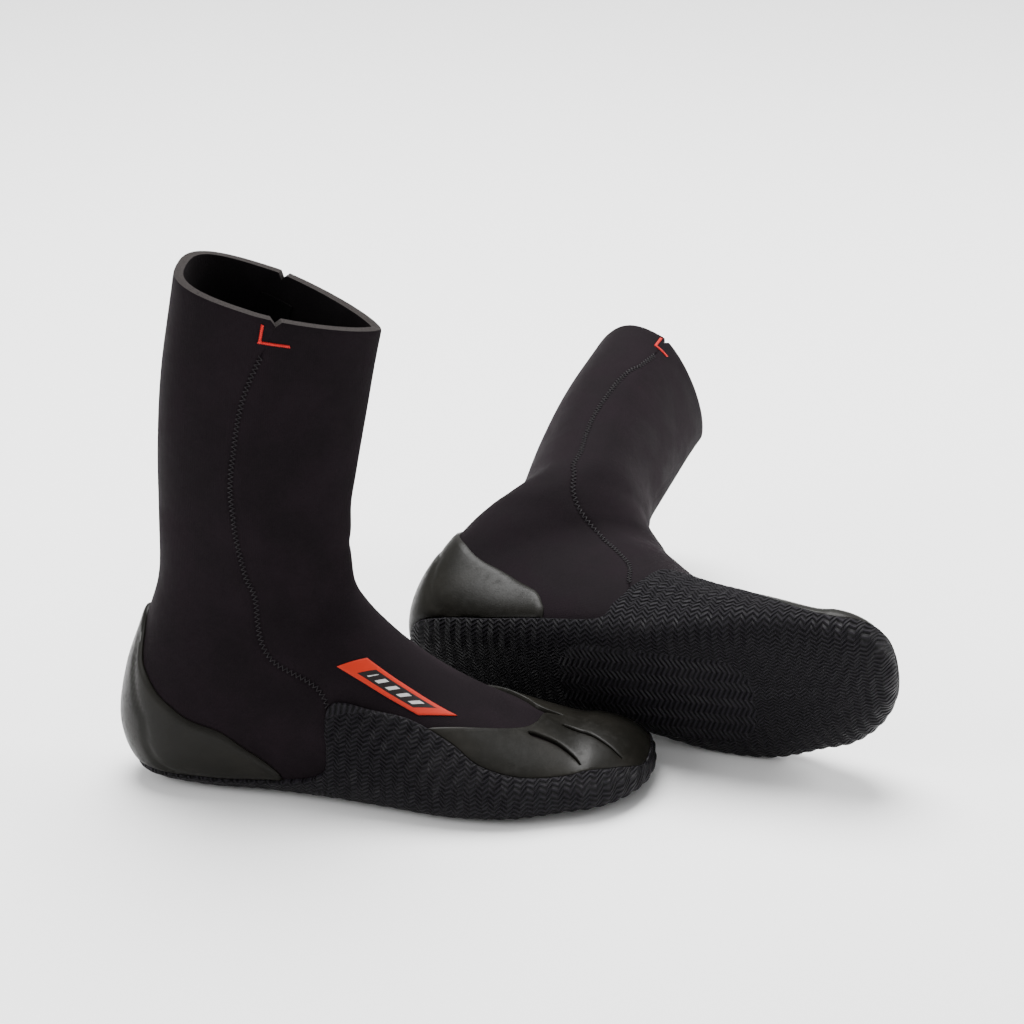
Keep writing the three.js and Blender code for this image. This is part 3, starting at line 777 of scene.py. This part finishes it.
def flex_ridges(boot):
    """Ridges that are deepest on the side flaps, deeper at the toes, and faint underfoot."""
    def shape(station, turn, edge):
        x = last_point(boot["table"], station, turn)[:, 0]
        girth = np.abs(girth_at(boot, station, turn))
        wave = 0.5 - 0.5 * np.sin((x - RIDGE_SLANT * girth) * 2 * math.pi / RIDGE_PITCH)
        flap = smooth(np.abs(turn), 55, 95) * smooth(station, 5.2, 7.2)
        front = smooth(x, 185, 205)
        depth = 0.35 + 1.5 * flap + 0.35 * front
        return -wave * depth * smooth(edge, 0.3, 4.0)
    return shape


for boot in BOOTS:
    sole = wrap(f"{boot['name']}_ribbed_outsole", boot, outsole_pattern, 0.05, 3.3, spacing=1.9,
                dip=1.3, dip_width=1.6, shape=flex_ridges(boot), materials=(ribbed_rubber, ribbed_rubber))
    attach(sole, boot["foot"])
    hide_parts(f"{boot['name']}_outsole")

# %% [markdown]
# The toe cap is a smooth thin moulding over the toes. Its rear edge has a small notch near the
# centre line, and two long slits taper forward behind the toes, so that it bends with them. They
# could be grooves, but real holes show the black foam below and keep a crisp edge.

# %% Toe cap
CAP_REAR = [(7.42, 128.4), (7.3, 131.5), (6.4, 148), (5.8, 162), (5.62, 173), (5.57, 182), (5.5, 188),
            (5.22, 191.5), (5.6, 194.5), (5.85, 204), (6.15, 214), (6.45, 224), (6.66, 231), (6.72, 235)]
SLITS = [[(5.72, 158), (5.35, 155), (4.95, 145), (4.5, 131)],
         [(5.2, 177), (4.3, 169), (3.4, 154), (2.7, 136)]]
cap_rear = smooth_line(CAP_REAR, 1.0)
outer_part = smooth_line(OUTSOLE_OUTER, 1.2)
inner_part = smooth_line(OUTSOLE_INNER, 1.2) + full_turn
cap_side = outer_part[outer_part[:, 0] < 7.42]
cap_side = cap_side[: np.argmax(cap_side[:, 0] > 7.38) or None]
inner_side = inner_part[::-1]
inner_side = inner_side[: np.argmax(inner_side[:, 0] > 6.7)]
cap_pattern = outline(np.vstack([cap_rear[:1], cap_side[::-1]]), np.vstack([cap_side[:1], inner_side]),
                      np.vstack([inner_side[-1:], cap_rear[::-1]]))


def slit_ring(slit, widest, narrowest):
    """A long slit that is wide at the back and runs out to nothing at the front."""
    points = smooth_line(slit, 0.9) * PATTERN
    ahead = np.gradient(points, axis=0)
    aside = np.stack([-ahead[:, 1], ahead[:, 0]], axis=1)
    aside /= np.linalg.norm(aside, axis=1, keepdims=True)
    share = np.linspace(0, 1, len(points))[:, None]
    half = (widest * (1 - share) ** 0.8 + narrowest) * np.minimum(1, 0.45 + share * 9)
    return np.vstack([points + aside * half, (points - aside * half)[::-1]]) / PATTERN


slits = [slit_ring(SLITS[0], 1.35, 0.35), slit_ring(SLITS[1], 0.85, 0.35)]
for boot in BOOTS:
    cap = wrap(f"{boot['name']}_smooth_toe_cap", boot, cap_pattern, 0.05, 2.3, spacing=1.5, dip=0.6,
               dip_width=0.9, holes=slits, materials=(smooth_rubber, smooth_rubber))
    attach(cap, boot["foot"])
    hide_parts(f"{boot['name']}_toe_cap")

# %% [markdown]
# The heel patch is the same smooth rubber. It climbs the tendon in a point and reaches forward on
# both sides. A raised band runs up its middle, with a fine crease on each side of it.

# %% Heel patch
PATCH_OUTER = [(9.75, 57), (9.95, 67), (10.6, 77), (11.6, 81), (12.8, 68), (13.6, 52), (14.2, 36),
               (14.9, 18), (15.15, 0)]
PATCH_INNER = [(15.15, 0), (14.9, -18), (14.2, -36), (13.6, -52), (12.8, -68), (11.6, -81),
               (10.4, -78), (9.9, -66), (9.75, -53)]
behind = (outsole_line[:, 0] > 9.72) & (outsole_line[:, 1] < 58) & (outsole_line[:, 1] > -53)
rim_heel = outsole_line[behind]
patch_edge = smooth_line(PATCH_OUTER + PATCH_INNER[1:], 1.4)
patch_pattern = outline(patch_edge, np.vstack([patch_edge[-1:], rim_heel[::-1], patch_edge[:1]]))


def heel_band(station, turn, edge):
    """The raised middle band, which narrows to the top, with a crease along each side."""
    half = np.interp(station, [11.9, 13, 13.8, 15.2], [41.5, 47.5, 34, 12])
    band = smooth(half - np.abs(turn), -1, 3)
    crease_line = np.exp(-((np.abs(turn) - half) / 2.0) ** 2)
    return (0.4 * band - 0.7 * crease_line) * smooth(edge, 0.5, 4)


for boot in BOOTS:
    patch = wrap(f"{boot['name']}_smooth_heel_patch", boot, patch_pattern, 0.05, 2.1, spacing=2.2,
                 dip=1.3, dip_width=2.4, shape=heel_band, materials=(smooth_rubber, smooth_rubber))
    bend_at_ankle(patch)
    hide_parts(f"{boot['name']}_heel_patch")

# %% [markdown]
# ## Stitching
# A zigzag thread holds the panels together along each side seam. It could be painted on, but real
# thread catches the light, so each stitch is a short round bar laid from side to side. The red bar
# tack under the collar is the same stitch, packed tight, in an L.

# %% Thread along a line
def add_stitch(bm, start, end, radius):
    start, end = Vector(start), Vector(end)
    along = end - start
    turn = along.to_track_quat("Z", "Y").to_matrix().to_4x4()
    turn.translation = (start + end) / 2
    bmesh.ops.create_cone(bm, cap_ends=True, segments=6, radius1=radius, radius2=radius,
                          depth=along.length + radius * 1.4, matrix=turn)


def stitched(name, boot, lines, half_width, pitch, radius, lift, material):
    """A zigzag of stitches to both sides of each line of (station, turn) points."""
    bm = bmesh.new()
    for line in lines:
        centre = on_boot(boot, line[:, 0], line[:, 1], 0.0)
        length = np.r_[0, np.cumsum(np.linalg.norm(np.diff(centre, axis=0), axis=1))] * 1000
        at = np.arange(0, length[-1], pitch)
        station, turn = (np.interp(at, length, line[:, k]) for k in (0, 1))
        spot = on_boot(boot, station, turn, lift)
        ahead = np.gradient(on_boot(boot, station, turn, 0.0), axis=0)
        out = on_boot(boot, station, turn, 1.0) - on_boot(boot, station, turn, 0.0)
        aside = np.cross(ahead, out)
        aside /= np.maximum(np.linalg.norm(aside, axis=1, keepdims=True), 1e-12)
        sway = np.where(np.arange(len(at)) % 2 == 0, 1, -1)[:, None] * half_width / 1000
        knots = spot + aside * sway
        for start, end in zip(knots, knots[1:]):
            add_stitch(bm, start, end, radius / 1000)
    for face in bm.faces:
        face.smooth = True
    mesh = bpy.data.meshes.new(name)
    bm.to_mesh(mesh)
    bm.free()
    mesh.materials.append(material)
    piece = bpy.data.objects.new(name, mesh)
    bpy.context.scene.collection.objects.link(piece)
    print(f"{name}: {len(mesh.polygons)} faces")
    return piece


# %% Seams and bar tacks
SEAMS = [("lateral", outer_line, 1), ("medial", inner_line, -1)]
for boot in BOOTS:
    n = boot["name"]
    for side_name, line, side in SEAMS:
        lowest = 9.45 if side > 0 else 8.65
        below = line[(line[:, 0] < 19.55) & (line[:, 0] > lowest)]
        seam = stitched(f"{n}_{side_name}_zigzag", boot, [below], 1.2, 1.3, 0.22, 0.2, black_thread)
        bend_at_ankle(seam)
        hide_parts(f"{n}_{side_name}_stitching")
        middle = line[0, 1]
        near, far = middle - side * 9, middle + side * 9
        bars = [even([(19.7, near), (19.7, far)], 0.5),
                even([(19.7, near + side), (19.93, near + side)], 0.5)]
        tack = stitched(f"{n}_{side_name}_red_tack", boot, bars, 0.5, 0.5, 0.3, 0.25, red_thread)
        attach(tack, boot["shaft"])
        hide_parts(f"{n}_{side_name}_bar_tack")

# %% [markdown]
# ## Inside tape and the instep badge
# A glued tape covers each seam inside the boot; it can be seen when looking down the shaft. On the
# outer side of the instep sits a printed badge, cut as a slanted four-sided patch.

# %% Seam tapes
def tape_pattern(line, half_width):
    """A strip of even width along a line, in the pattern's rough millimetres."""
    points = line * PATTERN
    ahead = np.gradient(points, axis=0)
    aside = np.stack([-ahead[:, 1], ahead[:, 0]], axis=1)
    aside /= np.linalg.norm(aside, axis=1, keepdims=True)
    left, right = (points + aside * side * half_width for side in (1, -1))
    return outline(even(left / PATTERN, 4), even([left[-1] / PATTERN, right[-1] / PATTERN], 4),
                   even(right[::-1] / PATTERN, 4), even([right[0] / PATTERN, left[0] / PATTERN], 4))


for boot in BOOTS:
    n = boot["name"]
    for side_name, line, side in SEAMS:
        inside_line = line[(line[:, 0] < 19.7) & (line[:, 0] > 9.9)]
        tape = wrap(f"{n}_{side_name}_inner_tape", boot, tape_pattern(inside_line, 8), -6.1, -5.2,
                    spacing=4, dip=0, materials=(tape_weave, tape_weave))
        bend_at_ankle(tape)
        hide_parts(f"{n}_{side_name}_seam_tape")

# %% Instep badge
BADGE = np.array([(9.7, 130), (8.95, 144), (6.9, 147.5), (7.6, 134)])


def badge_map(piece):
    """A 0 to 1 map over the badge: u runs forward along it, v up across it."""
    rows = np.hstack([BADGE, np.ones((4, 1))])
    fit = np.linalg.lstsq(rows, np.array([(0, 0), (0, 1), (1, 1), (1, 0)], float), rcond=None)[0]
    chart = piece.data.uv_layers["chart"]
    badge = piece.data.uv_layers.new(name="badge")
    values = np.array([tuple(item.uv) for item in chart.data]) * np.array([1, 10])
    uv = np.hstack([values, np.ones((len(values), 1))]) @ fit
    badge.data.foreach_set("uv", uv.astype(np.float32).ravel())


for boot in BOOTS:
    ring = outline(even(BADGE[[0, 1]]), even(BADGE[[1, 2]]), even(BADGE[[2, 3]]), even(BADGE[[3, 0]]))
    badge = wrap(f"{boot['name']}_printed_badge", boot, ring, 0.05, 0.75, spacing=2, dip=0.25,
                 dip_width=0.8, materials=(label_print, label_print))
    badge_map(badge)
    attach(badge, boot["foot"])
    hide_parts(f"{boot['name']}_instep_label")

# %% [markdown]
# ## Floor, light and camera
# A pale floor, one large soft light from above and two weaker ones at the sides show dark rubber
# best: what is seen of a black object is mostly the reflections in it.

# %% Stage
def pale_floor():
    material, nodes, shader = new_material("pale_floor", (0.92, 0.92, 0.92), 0.9, specular=0.1)
    nodes.join(nodes.blend(nodes.noise(3, 2), (0.915, 0.915, 0.915), (0.925, 0.925, 0.925)),
               shader.inputs["Base Color"])
    bm = bmesh.new()
    bmesh.ops.create_grid(bm, x_segments=1, y_segments=1, size=8)
    mesh = bpy.data.meshes.new("floor")
    bm.to_mesh(mesh)
    bm.free()
    mesh.materials.append(material)
    floor = bpy.data.objects.new("floor", mesh)
    floor.location.z = -0.0005
    bpy.context.scene.collection.objects.link(floor)


def soft_light(name, place, size, power, target=(0, 0, 0.1)):
    light = bpy.data.lights.new(name, "AREA")
    light.shape, light.size, light.energy = "DISK", size, power
    lamp = bpy.data.objects.new(name, light)
    lamp.location = place
    lamp.rotation_euler = (Vector(target) - Vector(place)).to_track_quat("-Z", "Y").to_euler()
    bpy.context.scene.collection.objects.link(lamp)


pale_floor()
soft_light("top_light", (-0.1, 0.5, 1.9), 1.6, 120)
soft_light("left_light", (-1.6, -0.9, 0.9), 1.0, 20)
soft_light("right_light", (1.7, 0.3, 1.0), 1.0, 30)
world = bpy.data.worlds.new("studio")
world.use_nodes = True
world.node_tree.nodes["Background"].inputs["Color"].default_value = (1, 1, 1, 1)
world.node_tree.nodes["Background"].inputs["Strength"].default_value = 0.8
bpy.context.scene.world = world
print("stage ready")

# %% Camera
hinge = np.array(joints["right_ankle_flex"]["pos_m"])
aim = Vector((hinge[0] + 0.11847, hinge[1] + 0.009, 0.145))
height_angle = math.radians(22)
camera_data = bpy.data.cameras.new("camera")
camera_data.lens = 136.4
camera = bpy.data.objects.new("camera", camera_data)
camera.location = aim + 2.0 * Vector((0, -math.cos(height_angle), math.sin(height_angle)))
camera.rotation_euler = (aim - camera.location).to_track_quat("-Z", "Y").to_euler()
bpy.context.scene.collection.objects.link(camera)
bpy.context.scene.camera = camera
print("camera at", [round(v, 3) for v in camera.location])

# %% Finish
bpy.context.view_layer.update()
